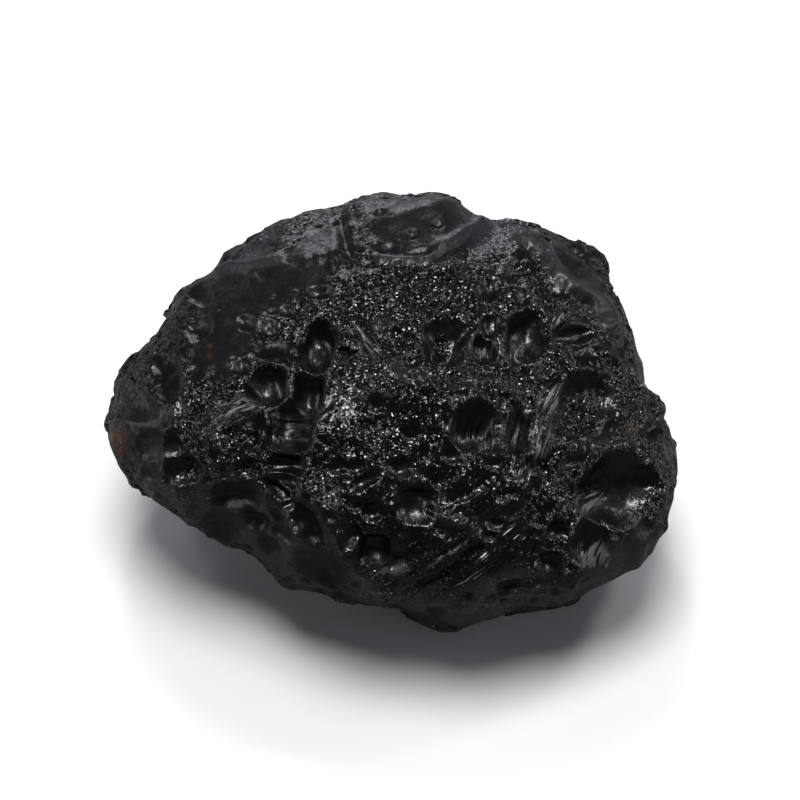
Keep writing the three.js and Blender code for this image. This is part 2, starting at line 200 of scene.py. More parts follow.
# Lines along the face: points, half width, height (below zero for a groove)
RIDGES = (
    # crests of the upper right
    (((8.9, 11.7), (9.7, 11.5), (10.8, 10.8), (11.5, 9.6), (12.2, 8.8), (13.9, 7.9), (14.6, 7.5),
      (15.0, 6.8), (15.1, 5.7)), 0.5, 0.85),
    (((14.3, 4.0), (15.7, 3.3), (16.7, 1.9), (17.7, 0.8), (18.5, 0.1)), 0.4, 0.45),
    # the fin between the lower face and the right bowls
    (((11.9, 1.9), (11.2, 0.9), (10.6, -0.6), (10.3, -2.0), (9.9, -3.2)), 0.5, 0.45),
    (((9.9, -3.2), (9.4, -4.9), (8.9, -6.4)), 0.25, 0.35),
    (((13.6, -1.7), (14.3, -1.45), (14.9, -0.9), (15.4, -0.1)), 0.24, 0.5),
    (((9.4, 0.6), (8.9, -1.5), (8.5, -4.0)), 0.5, -0.4),
    (((18.1, -4.0), (18.8, -5.3), (18.5, -6.7), (18.0, -7.6)), 0.35, 0.45),
    # crest between the belly and the lower face
    (((-5.6, -5.6), (-4.5, -6.6), (-3.5, -8.3), (-2.6, -10.1), (-1.7, -11.2), (-0.3, -12.5)), 0.7, 0.8),
    # the neck behind the left tip
    (((-15.8, -1.4), (-15.6, -3.1), (-15.6, -4.2), (-15.1, -5.2), (-14.6, -6.2)), 0.4, 0.5),
    (((-17.0, 1.6), (-16.7, 1.1), (-16.1, 0.6)), 0.22, 0.3),
    # the top
    (LUMP_CREST, 0.45, 0.4), (SADDLE_CREST, 0.35, 0.35), (SHOULDER_CREST, 0.35, 0.5),
    (((-6.7, 8.2), (-6.7, 7.6)), 0.2, 0.3),
    (((-3.4, 13.2), (-3.1, 11.5), (-2.6, 10.6)), 0.35, -0.4),
    # streaks that fan out to the right of the first big bowl
    (((-1.8, 5.6), (-1.1, 4.5)), 0.15, 0.28), (((-2.1, 5.0), (-1.5, 4.1)), 0.15, 0.28),
    (((-2.7, 4.8), (-2.1, 4.3)), 0.15, 0.28), (((-1.1, 6.6), (-0.6, 6.0)), 0.15, 0.25),
    (((-1.9, 9.0), (-1.5, 8.5)), 0.15, 0.25), (((-3.2, 5.2), (-2.8, 4.6)), 0.15, 0.25),
    # claws over the long black cavity
    (((10.9, 5.8), (11.5, 6.5)), 0.15, 0.28), (((11.3, 5.8), (11.7, 6.1), (12.4, 6.3)), 0.15, 0.28),
    (((11.8, 6.8), (12.5, 6.0)), 0.15, 0.28),
    # lines of the lower face
    (((6.2, -2.8), (6.0, -3.6), (5.4, -4.3), (4.7, -5.0)), 0.15, 0.25),
    (((5.2, -3.8), (4.7, -4.9)), 0.13, 0.22), (((6.2, -5.9), (5.1, -6.6), (3.9, -7.3)), 0.25, 0.3),
    (((2.8, 0.4), (3.3, 0.1), (3.9, 0.3)), 0.15, 0.2),
    (((6.7, -8.1), (7.0, -8.5), (7.5, -8.5), (7.8, -8.3)), 0.15, 0.2),
    (((-9.2, -5.0), (-7.3, -5.9), (-6.9, -6.8)), 0.3, -0.35),
    (((6.3, -9.7), (5.5, -10.2), (4.5, -11.0), (3.5, -11.6), (2.3, -12.1), (1.0, -12.3)), 0.35, -0.5),
    (((5.2, -9.2), (3.5, -10.2), (1.4, -11.3)), 0.16, -0.25),
    (((6.9, -10.6), (5.5, -11.5), (4.2, -12.2), (2.8, -13.2)), 0.18, -0.25),
    # light flank at the lower right
    (((16.8, -10.4), (17.4, -9.0), (18.75, -8.0)), 0.5, 0.4),
)

# Thin rims with chips and beads along them: points, half width, height
CHIPPED_RIMS = (
    (((-3.8, 0.1), (-4.5, -0.4), (-5.0, -1.0), (-5.3, -1.5), (-5.2, -2.6), (-5.6, -3.5),
      (-5.8, -4.2)), 0.17, 0.32),
    (((-8.8, -0.3), (-9.6, -0.7), (-10.2, -1.5), (-10.8, -2.4), (-11.5, -2.9), (-11.9, -2.4),
      (-11.9, -1.5)), 0.17, 0.32),
    (((-11.2, 2.4), (-11.1, 1.5), (-10.4, 1.0), (-9.2, 0.2)), 0.16, 0.25),
    (((-10.4, 4.7), (-10.0, 4.0), (-9.6, 3.5), (-8.8, 3.3), (-7.3, 3.1), (-6.9, 2.8)), 0.16, 0.25),
    (((-4.7, 6.7), (-5.6, 6.3), (-6.0, 5.8), (-6.4, 5.1)), 0.2, 0.35),
    (((-3.6, 5.8), (-3.4, 5.0), (-3.6, 4.0), (-4.0, 3.1)), 0.2, 0.28),
    (((-7.1, 2.2), (-7.4, 1.0), (-8.2, 0.2), (-8.9, 0.1)), 0.15, 0.25),
    (((-8.7, -0.7), (-8.2, -1.8), (-7.6, -3.0)), 0.15, 0.2),
    (((-7.3, -7.1), (-6.9, -7.8), (-6.4, -8.6), (-5.8, -9.1), (-5.3, -9.5)), 0.15, 0.25),
    (((-13.0, -6.6), (-12.8, -5.8), (-12.2, -5.1), (-11.2, -4.8)), 0.15, 0.2),
    (((7.5, 8.9), (7.6, 9.5), (7.8, 10.0), (8.3, 10.4)), 0.18, 0.32),
    (((8.0, 10.0), (8.0, 9.4), (8.2, 8.8), (8.7, 8.6), (9.4, 8.5)), 0.18, 0.32),
    (((11.7, 1.9), (12.0, 2.4), (12.5, 2.8), (13.2, 2.8)), 0.17, 0.28),
    (((13.5, -4.3), (14.4, -3.7), (14.7, -2.9), (15.4, -2.5), (16.7, -2.4), (17.5, -3.1),
      (18.2, -3.9)), 0.17, 0.32),
    (((13.5, -4.3), (13.0, -5.1), (12.3, -5.8), (11.6, -6.6), (11.0, -7.6)), 0.17, 0.32),
    (((13.4, -7.3), (12.7, -8.1), (12.5, -8.8), (11.9, -9.4), (11.3, -9.7)), 0.17, 0.28),
    (((10.4, -9.4), (10.6, -9.8), (11.0, -9.7), (11.6, -9.7), (12.2, -10.0)), 0.15, 0.25),
    (((15.6, -8.0), (15.5, -9.0), (15.1, -9.9), (14.8, -10.8)), 0.15, 0.25),
    (((6.2, -14.0), (7.4, -13.2), (8.5, -12.7), (9.7, -12.4), (10.8, -12.2), (12.6, -12.2)), 0.16, 0.22),
    (((14.3, 4.0), (14.9, 3.6), (15.7, 3.3), (16.2, 2.9), (16.7, 1.9), (17.7, 0.8),
      (18.5, 0.1)), 0.16, 0.25),
    (((10.2, 0.5), (9.9, -0.7), (9.7, -2.1), (9.6, -3.3)), 0.12, 0.28),
    (((10.9, -0.2), (10.4, -1.4), (10.0, -2.6), (9.8, -3.6)), 0.12, 0.28),
    (((13.6, -1.75), (14.3, -1.5), (14.9, -0.95), (15.4, -0.15)), 0.16, 0.3),
    (((13.0, 2.9), (14.0, 2.8), (15.2, 2.0), (16.6, 1.0), (17.3, 0.7)), 0.14, 0.22),
    (((15.4, -8.0), (15.7, -8.8), (15.2, -9.9)), 0.14, 0.25),
    (((-9.0, 6.4), (-9.2, 5.9), (-8.8, 5.5), (-8.0, 5.6), (-7.8, 6.0)), 0.17, 0.25),
)
CHIP_SPACING = 0.3
# How much of a rim's height the chips can take
CHIP_SHARE = 0.45
# Heights at which a rim ends a bowl's inside, and at which its top is painted pale as a highlight
RIM_FOOT = (0.05, 0.15)
RIM_CREST = (0.11, 0.26)

# The sides that the broad face doesn't reach, as the solid has them
SCATTER_SEED = 41
SCATTER_SCOOPS = 150
SCATTER_SCOOP_REACH = (1.1, 2.9)
SCATTER_DEPTH_SHARE = 0.42
# A scoop is between one and two times this much of its full depth
SCOOP_LEAST = 0.6
SCATTER_MOUNDS = 34
SCATTER_MOUND_REACH = (3.0, 6.0)
SCATTER_MOUND_HEIGHT = 0.75
SCATTER_MOUND_FALL = 4
SEAT_CLEARANCE = -0.86

# Flow lines: curves that fine grooves follow, and how far they spread to each side
SWEEP = ((8.6, -8.0), (6.9, -9.4), (4.5, -11.1), (1.4, -12.6), (-0.6, -13.2))
SWEEP_SPREAD = 1.9
FIN = ((11.8, 1.7), (10.6, -0.3), (9.9, -3.0), (9.2, -5.2), (8.5, -7.6))
FIN_SPREAD = 0.8

# Patches of straight fine lines: across, up, half length, half width, turn; the lines run along the turn
LINED_PATCHES = (
    (-5.9, -1.0, 1.7, 1.4, 0),
    (5.7, -1.6, 1.9, 1.6, 82),
    (6.6, 4.2, 1.0, 0.9, 88),
    (9.4, 4.1, 1.0, 1.2, 88),
    (11.7, 6.3, 0.9, 0.7, 60),
    (14.6, -6.2, 1.4, 1.3, 35),
    (-1.7, 5.2, 1.3, 1.0, -57),
    (-10.6, -0.1, 1.5, 0.8, 30),
    (14.1, -9.4, 1.4, 1.1, 60),
    (9.1, -1.6, 2.0, 0.9, 80),
)

# Rough, sparkling stretches of the face: across, up, half length, half width, turn
ROUGH_PATCHES = (
    (5.5, 3.6, 9.0, 4.8, -12),
    (-10.6, -0.6, 3.3, 4.2, 0),
    (-2.4, -2.4, 2.5, 1.7, 0),
    (13.0, -1.6, 4.6, 4.6, 0),
    (13.0, -8.6, 3.0, 2.6, 0),
    (5.5, 8.2, 5.0, 1.6, -10),
)

# Small spots full of chips and sparkles: across, up, half length, half width, turn
SPARKLE_PATCHES = (
    (-2.3, 4.3, 1.6, 1.2, -50), (-0.6, 2.4, 0.7, 0.6, 0), (-10.6, 0.0, 1.6, 0.8, 15),
    (4.5, 1.6, 4.0, 0.6, 0), (8.0, 1.6, 1.2, 0.7, 0), (10.8, 0.6, 1.0, 0.8, 60),
    (10.5, -2.4, 1.1, 0.6, 70), (14.4, -2.1, 1.6, 0.8, 30), (14.8, 0.7, 1.6, 0.9, 0),
    (8.7, 8.7, 1.0, 0.7, 0), (5.2, 4.5, 0.7, 0.6, 0), (4.5, -7.6, 1.2, 0.6, 0),
    (-0.5, -10.8, 1.6, 0.5, 0), (15.1, -6.4, 1.4, 0.8, 35), (14.4, -10.4, 1.0, 0.6, 45),
    (1.5, -4.5, 1.1, 0.9, 0), (7.4, -2.6, 1.0, 0.6, 0), (11.8, 6.2, 0.9, 0.5, 0), (4.2, 9.9, 1.0, 0.6, 0),
    (9.3, 4.2, 0.7, 0.45, 0), (6.5, 9.9, 0.6, 0.5, 0), (-0.3, 6.2, 0.8, 0.9, 0), (-5.5, 6.9, 0.8, 0.6, 0),
)

# Smooth stretches of the face: across, up, half length, half width, turn
SMOOTH_PATCHES = (
    (-9.5, -8.8, 5.5, 2.6, -32),
    (-17.0, -1.5, 2.2, 3.2, 0),
    (17.4, -9.4, 1.6, 1.9, 0),
    (12.2, -12.9, 2.6, 0.8, 12),
    (-4.8, -7.8, 1.3, 1.9, 35),
    (13.2, 10.2, 2.6, 1.6, -40),
    (0.7, 2.6, 0.8, 0.9, 0),
    (2.0, 12.7, 5.5, 2.6, 0),
    (4.5, -14.8, 6.5, 1.0, 2),
    (15.5, -11.2, 2.6, 1.6, 40),
    (-10.0, 8.0, 6.0, 2.8, 38),
    (-6.0, 10.0, 3.6, 1.9, 20),
    (-4.0, 11.8, 2.6, 1.5, 12),
    (-11.6, 4.6, 2.6, 2.0, 40),
)

# Smooth crests: points, half width
SMOOTH_LINES = (
    (((8.9, 11.7), (9.7, 11.5), (10.8, 10.8), (11.5, 9.6), (12.2, 8.8), (13.9, 7.9), (14.6, 7.5),
      (15.1, 5.7)), 0.6),
    (LUMP_CREST, 0.5),
    (SADDLE_CREST, 0.45),
    (SHOULDER_CREST, 0.5),
)

# Stretches lightened by a painted reflection of the floor below and by a painted highlight along the top:
# across, up, half length, half width, turn
PAINTED_REFLECTION_PATCHES = (
    (-9.5, -8.8, 5.5, 2.6, -32),
    (4.5, -14.6, 6.5, 1.7, 2),
    (15.5, -11.2, 2.6, 1.6, 40),
    (0.5, -13.4, 2.8, 1.0, -8),
    (10.5, -13.2, 3.0, 1.0, 10),
    (7.8, -12.0, 3.0, 0.9, 14),
    (-15.8, -5.9, 2.2, 1.2, -35),
    (14.6, 7.8, 1.2, 1.8, 20),
    (6.9, 12.8, 2.8, 1.6, -22),
    (-11.0, 10.6, 4.5, 0.8, 35),
    (-2.0, -12.0, 2.2, 1.0, -20),
)

# Stretches of plain black glass between the rough ones: across, up, half length, half width, turn
CALM_PATCHES = (
    (7.6, 5.0, 3.2, 1.7, 0),
    (-7.0, 1.6, 2.4, 3.6, 15),
    (6.3, -1.0, 2.8, 1.7, 0),
    (5.0, -9.4, 5.0, 1.7, 32),
    (1.5, -7.2, 6.0, 3.2, 0),
    (12.9, 5.3, 1.7, 0.7, 0),
    (-12.3, 3.6, 2.6, 1.8, 30),
    (4.4, 6.1, 2.4, 0.6, 0),
    (-3.3, 0.4, 2.3, 1.5, 0),
)

# Brown clay left in the glass: across, up, radius, strength
STAINS = (
    (-19.2, -2.0, 0.65, 1.0),
    (-18.9, -2.9, 0.45, 0.8),
    (-12.7, 4.6, 0.2, 0.6),
    (-12.7, 3.9, 0.18, 0.5),
    (16.7, -1.3, 0.35, 0.7),
)

# ---- the plain form

OUT = np.array([0.0, -math.cos(FACE_LEAN), math.sin(FACE_LEAN)])
UP = np.array([0.0, math.sin(FACE_LEAN), math.cos(FACE_LEAN)])
ACROSS = np.array([1.0, 0.0, 0.0])


def smooth_step(value, low, high):
    t = np.clip((value - low) / (high - low), 0, 1)
    return t * t * (3 - 2 * t)


def unit(vectors):
    return vectors / np.linalg.norm(vectors, axis=-1, keepdims=True)


def rim_stations():
    points = np.array(RIM)
    angles = np.arctan2(points[:, 1], points[:, 0])
    radii = np.hypot(points[:, 0], points[:, 1])
    order = np.argsort(angles)
    angles = angles[order]
    radii = radii[order]
    full_turn = 2 * math.pi
    angles = np.concatenate((angles[-2:] - full_turn, angles, angles[:2] + full_turn))
    radii = np.concatenate((radii[-2:], radii, radii[:2]))
    return angles, radii


RIM_ANGLES, RIM_RADII = rim_stations()


def rim_radius(angle):
    """A smooth closed curve through the rim's stations."""
    start = np.searchsorted(RIM_ANGLES[2:-2], angle, side="right") + 1
    end = start + 1
    slope = (RIM_RADII[2:] - RIM_RADII[:-2]) / (RIM_ANGLES[2:] - RIM_ANGLES[:-2])
    span = RIM_ANGLES[end] - RIM_ANGLES[start]
    t = (angle - RIM_ANGLES[start]) / span
    start_pull = slope[start - 1] * span
    end_pull = slope[end - 1] * span
    rise = RIM_RADII[end] - RIM_RADII[start]
    bend = 3 * rise - 2 * start_pull - end_pull
    return RIM_RADII[start] + t * (start_pull + t * (bend + t * (start_pull + end_pull - 2 * rise)))


def form_points(direction):
    """Where directions of the unit sphere meet the plain form, and their place on the face."""
    radius = rim_radius(np.arctan2(direction[:, 1], direction[:, 0]))
    across = radius * direction[:, 0]
    up = radius * direction[:, 1]
    depth = np.where(direction[:, 2] > 0, FRONT_DEPTH, BACK_DEPTH)
    out = depth * direction[:, 2] + RIM_SLOPE * up
    shrink = 1 - out * TAPER
    points = np.outer(across * shrink, ACROSS) + np.outer(up * shrink, UP) + np.outer(out, OUT)
    return points, across, up


def form_normals(direction):
    sideways = np.abs(direction[:, 2:3]) < NEARLY_OUT
    helper = np.where(sideways, np.array([[0.0, 0.0, 1.0]]), np.array([[1.0, 0.0, 0.0]]))
    side = unit(np.cross(helper, direction))
    other = np.cross(direction, side)
    here = form_points(direction)[0]
    along = form_points(unit(direction + side * NORMAL_STEP))[0] - here
    beyond = form_points(unit(direction + other * NORMAL_STEP))[0] - here
    return unit(np.cross(along, beyond))


# ---- relief of the broad face

def spot_distance(spot, across, up):
    """Squared distance from a round spot's middle, 1 on its edge."""
    middle_across, middle_up, radius = spot
    return ((across - middle_across) ** 2 + (up - middle_up) ** 2) / radius ** 2


def ellipse_place(ellipse, across, up):
    """Where a place lies along and across an ellipse, 1 on its edge."""
    middle_across, middle_up, half_length, half_width, turn = ellipse
    cos = math.cos(math.radians(turn))
    sin = math.sin(math.radians(turn))
    dx = across - middle_across
    dy = up - middle_up
    along = (dx * cos + dy * sin) / half_length
    aside = (dy * cos - dx * sin) / half_width
    return along, aside


def ellipse_distance(ellipse, across, up):
    """Squared distance from an ellipse's middle, 1 on its edge."""
    along, aside = ellipse_place(ellipse, across, up)
    return along * along + aside * aside


def bowl_distance(bowl, across, up):
    """Distance from a bowl's middle, 1 all along its squarish edge."""
    along, aside = ellipse_place(bowl, across, up)
    total = np.abs(along) ** BOWL_SQUARENESS + np.abs(aside) ** BOWL_SQUARENESS
    return total ** (1 / BOWL_SQUARENESS)


def line_distance(points, across, up):
    """Distance to a line through the points, the same with a sign for its side, and travel along it."""
    nearest = np.full(across.shape, np.inf)
    signed = np.zeros(across.shape)
    travel = np.zeros(across.shape)
    walked = 0
    for (start_x, start_y), (end_x, end_y) in zip(points[:-1], points[1:]):
        dx = end_x - start_x
        dy = end_y - start_y
        share = ((across - start_x) * dx + (up - start_y) * dy) / (dx * dx + dy * dy)
        t = np.clip(share, 0, 1)
        gap_x = across - start_x - t * dx
        gap_y = up - start_y - t * dy
        gap = np.hypot(gap_x, gap_y)
        closer = gap < nearest
        nearest[closer] = gap[closer]
        side = np.sign(dx * gap_y - dy * gap_x)
        signed[closer] = (gap * side)[closer]
        length = math.hypot(dx, dy)
        travel[closer] = (walked + t * length)[closer]
        walked += length
    return nearest, signed, travel


def line_noise(coordinate, spacing, seed):
    """Smooth seeded ups and downs from -1 to 1 along one coordinate."""
    steps = np.random.default_rng(seed).uniform(-1, 1, NOISE_STEPS)
    place = coordinate / spacing + NOISE_STEPS / 2
    index = np.clip(np.floor(place).astype(int), 0, NOISE_STEPS - 2)
    t = smooth_step(place - index, 0, 1)
    return steps[index] * (1 - t) + steps[index + 1] * t


def bowl_floor(bowl, across, up):
    """Height of a bowl's floor, which is tipped to face the front, and how far inside it a place is."""
    *outline, depth = bowl
    _, middle_up, half_length, half_width, _ = outline
    share = bowl_distance(outline, across, up)
    tip = 1 - BOWL_TIP * (up - middle_up) / max(half_length, half_width)
    floor = depth * tip * (np.minimum(share, 1) ** BOWL_FLATNESS - 1)
    return floor, smooth_step(-share, -1.0, -BOWL_INNER)


def bowl_relief(across, up, depth_share):
    """The lowest of the bowls' floors, and how far inside a bowl each place is."""
    floor = np.zeros(across.shape)
    inside = np.zeros(across.shape)
    for bowl in BOWLS:
        depth, within = bowl_floor(bowl, across, up)
        floor = np.minimum(floor, depth_share * depth)
        inside = np.maximum(inside, within)
    return floor, inside


def rim_relief(across, up):
    """The thin rims, higher and lower by turns where chips are gone from them."""
    rim = np.zeros(across.shape)
    for seed, (points, width, rise) in enumerate(CHIPPED_RIMS):
        nearest, _, travel = line_distance(points, across, up)
        chips = 1 - CHIP_SHARE + CHIP_SHARE * line_noise(travel, CHIP_SPACING, seed)
        rim = np.maximum(rim, rise * chips * np.exp(-(nearest / width) ** 2))
    return rim


def face_relief(across, up, wander, settings):
    """Height of the broad face, how far inside a bowl each place is, and how near the top of a thin rim,
    where a highlight is painted.
    """
    height = np.zeros(across.shape)
    for *mound, rise in MOUNDS:
        height += rise * np.exp(-ellipse_distance(mound, across, up))
    for points, width, rise in RIDGES:
        nearest = line_distance(points, across, up)[0]
        height += rise * np.exp(-(nearest / width) ** 2)
    for radius, rise, places in KNOBS:
        for place in places:
            height += rise * np.exp(-spot_distance((*place, radius), across, up))
    floor, inside = bowl_relief(across + wander[0], up + wander[1], settings.bowl_depth)
    rim = rim_relief(across, up)
    inside *= 1 - smooth_step(rim, *RIM_FOOT)
    return height + floor + rim, inside, smooth_step(rim, *RIM_CREST)


# ---- relief of the other sides

def number_stream(seed):
    """A repeatable stream of numbers between 0 and 1."""
    state = seed
    while True:
        state = (state * 1664525 + 1013904223) % 2 ** 32
        yield state / 2 ** 32


def random_direction(stream):
    out = 2 * next(stream) - 1
    angle = 2 * math.pi * next(stream) - math.pi
    ring = math.sqrt(1 - out * out)
    return np.array([[ring * math.cos(angle), ring * math.sin(angle), out]])


def scatter_over(count, reach_range, stream):
    """Random spots, clear of the face and the seat: place, reach and a random number."""
    smallest, largest = reach_range
    spots = []
    while len(spots) < count:
        direction = random_direction(stream)
        reach = smallest + (largest - smallest) * next(stream) ** 2
        lift = next(stream)
        facing = form_normals(direction)[0]
        if facing @ OUT < FACE_EDGE[1] and facing[2] > SEAT_CLEARANCE:
            spots.append((form_points(direction)[0][0], reach, lift))
    return spots


def scattered_relief(points):
    stream = number_stream(SCATTER_SEED)
    scoops = scatter_over(SCATTER_SCOOPS, SCATTER_SCOOP_REACH, stream)
    mounds = scatter_over(SCATTER_MOUNDS, SCATTER_MOUND_REACH, stream)
    height = np.zeros(len(points))
    for middle, reach, lift in mounds:
        share = np.linalg.norm(points - middle, axis=1) / reach
        height += SCATTER_MOUND_HEIGHT * (2 * lift - 1) * np.exp(-SCATTER_MOUND_FALL * share * share)
    floor = np.zeros(len(points))
    inside = np.zeros(len(points))
    for middle, reach, lift in scoops:
        share = np.linalg.norm(points - middle, axis=1) / reach
        depth = reach * SCATTER_DEPTH_SHARE * (SCOOP_LEAST + SCOOP_LEAST * lift)
        floor = np.minimum(floor, depth * (share * share - 1))
        inside = np.maximum(inside, smooth_step(-share, -1.0, -SCOOP_INNER))
    return height + floor, inside


# ---- meshes

def deselect_all():
    bpy.ops.object.select_all(action="DESELECT")


def read_vectors(mesh, kind):
    """The place ("co") or the normal ("normal") of every vertex."""
    flat = np.empty(len(mesh.vertices) * 3)
    mesh.vertices.foreach_get(kind, flat)
    return flat.reshape(-1, 3)


def write_points(mesh, points):
    mesh.vertices.foreach_set("co", points.ravel())
    mesh.update()


def add_attribute(mesh, name, values):
    attribute = mesh.attributes.new(name, "FLOAT", "POINT")
    attribute.data.foreach_set("value", values.astype(np.float32))


def add_ball(cuts):
    """A ball of even triangles with a radius of one unit."""
    deselect_all()
    bpy.ops.mesh.primitive_ico_sphere_add(subdivisions=2, radius=1)
    ball = bpy.context.object
    bpy.ops.object.mode_set(mode="EDIT")
    bpy.ops.mesh.select_all(action="SELECT")
    bpy.ops.mesh.subdivide(number_cuts=cuts)
    bpy.ops.transform.tosphere(value=1)
    bpy.ops.object.mode_set(mode="OBJECT")
    return ball


def front_heavy(direction, share):
    """Turns directions towards "out", so that the face gets more of the vertices."""
    out = direction[:, 2]
    new_out = np.clip(out + share * (1 - out * out) / 2, -1, 1)
    old_ring = np.sqrt(np.maximum(1 - out * out, 1e-12))
    new_ring = np.sqrt(np.maximum(1 - new_out * new_out, 0))
    turned = direction * (new_ring / old_ring)[:, None]
    turned[:, 2] = new_out
    return unit(turned)


def noise_values(points, size, seed):
    """Smooth seeded noise from -1 to 1, with blotches of the given size in millimetres."""
    shift = Vector([seed * step for step in NOISE_SHIFT])
    return np.array([noise.noise(Vector(p) / size + shift) for p in points])


def cell_values(points, size, seed):
    """Squared distance to the nearest of many seeded spots, 0 at a spot and about 0.6 where cells meet."""
    shift = Vector([seed * step for step in CELL_SHIFT])
    return np.array([noise.voronoi(Vector(p) / size + shift)[0][0] ** 2 for p in points])


def neighbour_mean(mesh, values):
    flat = np.empty(len(mesh.edges) * 2, dtype=np.int32)
    mesh.edges.foreach_get("vertices", flat)
    start, end = flat.reshape(-1, 2).T
    count = len(mesh.vertices)
    total = np.zeros((count,) + values.shape[1:])
    np.add.at(total, start, values[end])
    np.add.at(total, end, values[start])
    number = np.bincount(start, minlength=count) + np.bincount(end, minlength=count)
    return (total.T / number).T


def vertex_areas(mesh):
    corners = np.empty(len(mesh.polygons) * 3, dtype=np.int32)
    mesh.polygons.foreach_get("vertices", corners)
    areas = np.empty(len(mesh.polygons))
    mesh.polygons.foreach_get("area", areas)
    return np.bincount(corners, weights=np.repeat(areas / 3, 3), minlength=len(mesh.vertices))


# ---- the stone, step by step

FRONT_SHARE = 0.5
# How far the bowls' outlines stray from their ellipses, and over what length
WANDER = 0.14
WANDER_SIZE = 1.3
WANDER_SEEDS = (1, 2)
UNEVEN_HEIGHTS = ((4.5, 0.35), (2.6, 0.18), (1.1, 0.10))
# Close-set hollows that meet in thin edges and gather in clumps: size, height, seed
CELL_ROUNDS = ((2.1, 0.75, 3), (1.1, 0.38, 4), (0.6, 0.2, 5))
CELL_LEVEL = 0.3
CELL_CALM = 0.25
CELL_CLUMPS = (-0.25, 0.35)
CLUMP_REACH = 3
# Clumps: size, seed, and the noise where they begin and are complete
ROUGH_CLUMPS = (2.0, 6, -0.2, 0.25)
ROUGH_LOW = 0.12
SPECK_CLUMPS = (1.1, 7, -0.35, 0.45)
# Most share of the open glass that gets painted speck glints
SPECK_SHARE = 0.6
# Small pits: number, smallest and largest radius, depth share of the radius, seed
PIT_ROUNDS = (
    (300, 0.45, 1.15, 0.62, 11),
    (2200, 0.20, 0.60, 0.60, 12),
    (7000, 0.12, 0.28, 0.55, 13),
)
PIT_FACE_SHARES = (0.10, 0.60, 1.0)
PIT_LOW = 0.35
FLOW_SPACING = 0.36
FLOW_HEIGHT = 0.06
FLOW_SEED = 5
# Worn edges: their strength, and how sharp a bend begins to be one and is one
EDGE_SHARE = 0.3
EDGE_BEND = (0.2, 0.55)
# How much of one kind of surface another takes away where the two meet
CALM_OFF_ROUGH = 0.85
CALM_OFF_SPECKS = 0.5
CALM_AS_INSIDE = 0.7
FLOW_OFF_ROUGH = 0.75
FLOW_OFF_PITS = 0.8
# How much of the painted reflection a bowl's inside takes away, so the bowls stay dark
INSIDE_OFF_PAINTED_REFLECTION = 0.75
SMOOTH_OFF_CELLS = 0.7
SMOOTH_OFF_SPECKS = 0.85
SMOOTH_OFF_PITS = 0.8
SMOOTH_OFF_EDGES = 0.6
# What the finish reads from the mesh: shares from 0 to 1, and the millimetres of "flow" and "along"
MASKS = (
    "inside", "rough", "sparkle", "smooth", "painted_reflection", "stain", "specks", "flow", "along", "flow_share",
    "edge",
)


def clumps(points, size, seed, low, high):
    """Seeded clumps of the given size, from 0 between them to 1 inside them."""
    return smooth_step(noise_values(points, size, seed), low, high)


def patch_share(patches, across, up):
    return np.maximum.reduce([np.exp(-ellipse_distance(patch, across, up) ** 2) for patch in patches])


def crest_share(across, up):
    distances = [line_distance(points, across, up)[0] / width for points, width in SMOOTH_LINES]
    return np.maximum.reduce([np.exp(-distance ** 4) for distance in distances])


def stain_share(across, up):
    shares = [strength * np.exp(-spot_distance(stain, across, up)) for *stain, strength in STAINS]
    return np.maximum.reduce(shares)


def flow_families(across, up):
    """Each place's distance across and along its flow lines, and how clearly the lines show there."""
    flow = np.zeros(across.shape)
    along = np.zeros(across.shape)
    share = np.zeros(across.shape)
    families = []
    for points, spread in ((SWEEP, SWEEP_SPREAD), (FIN, FIN_SPREAD)):
        nearest, signed, travel = line_distance(points, across, up)
        families.append((signed, travel, np.exp(-(nearest / spread) ** 4)))
    for patch in LINED_PATCHES:
        travel, aside = ellipse_place(patch, across, up)
        half_length, half_width = patch[2:4]
        clearness = np.exp(-ellipse_distance(patch, across, up) ** 2)
        families.append((aside * half_width, travel * half_length, clearness))
    for aside, travel, clearness in families:
        stronger = clearness > share
        flow[stronger] = aside[stronger]
        along[stronger] = travel[stronger]
        share[stronger] = clearness[stronger]
    return flow, along, share


def big_relief(points, across, up, face, settings):
    """Height of the stone without its fine work, how far inside a bowl each place is, and how near the top
    of a thin rim, where a highlight is painted.
    """
    wander = WANDER * np.array([noise_values(points, WANDER_SIZE, seed) for seed in WANDER_SEEDS])
    face_height, face_inside, chipped = face_relief(across, up, wander, settings)
    side_height, side_inside = scattered_relief(points)
    relief = face * face_height + (1 - face) * side_height
    for size, height in UNEVEN_HEIGHTS:
        relief += height * noise_values(points, size, size)
    inside = face * face_inside + (1 - face) * side_inside
    inside *= 1 - face * patch_share(ROUGH_INSIDES, across, up)
    return relief, inside, face * chipped


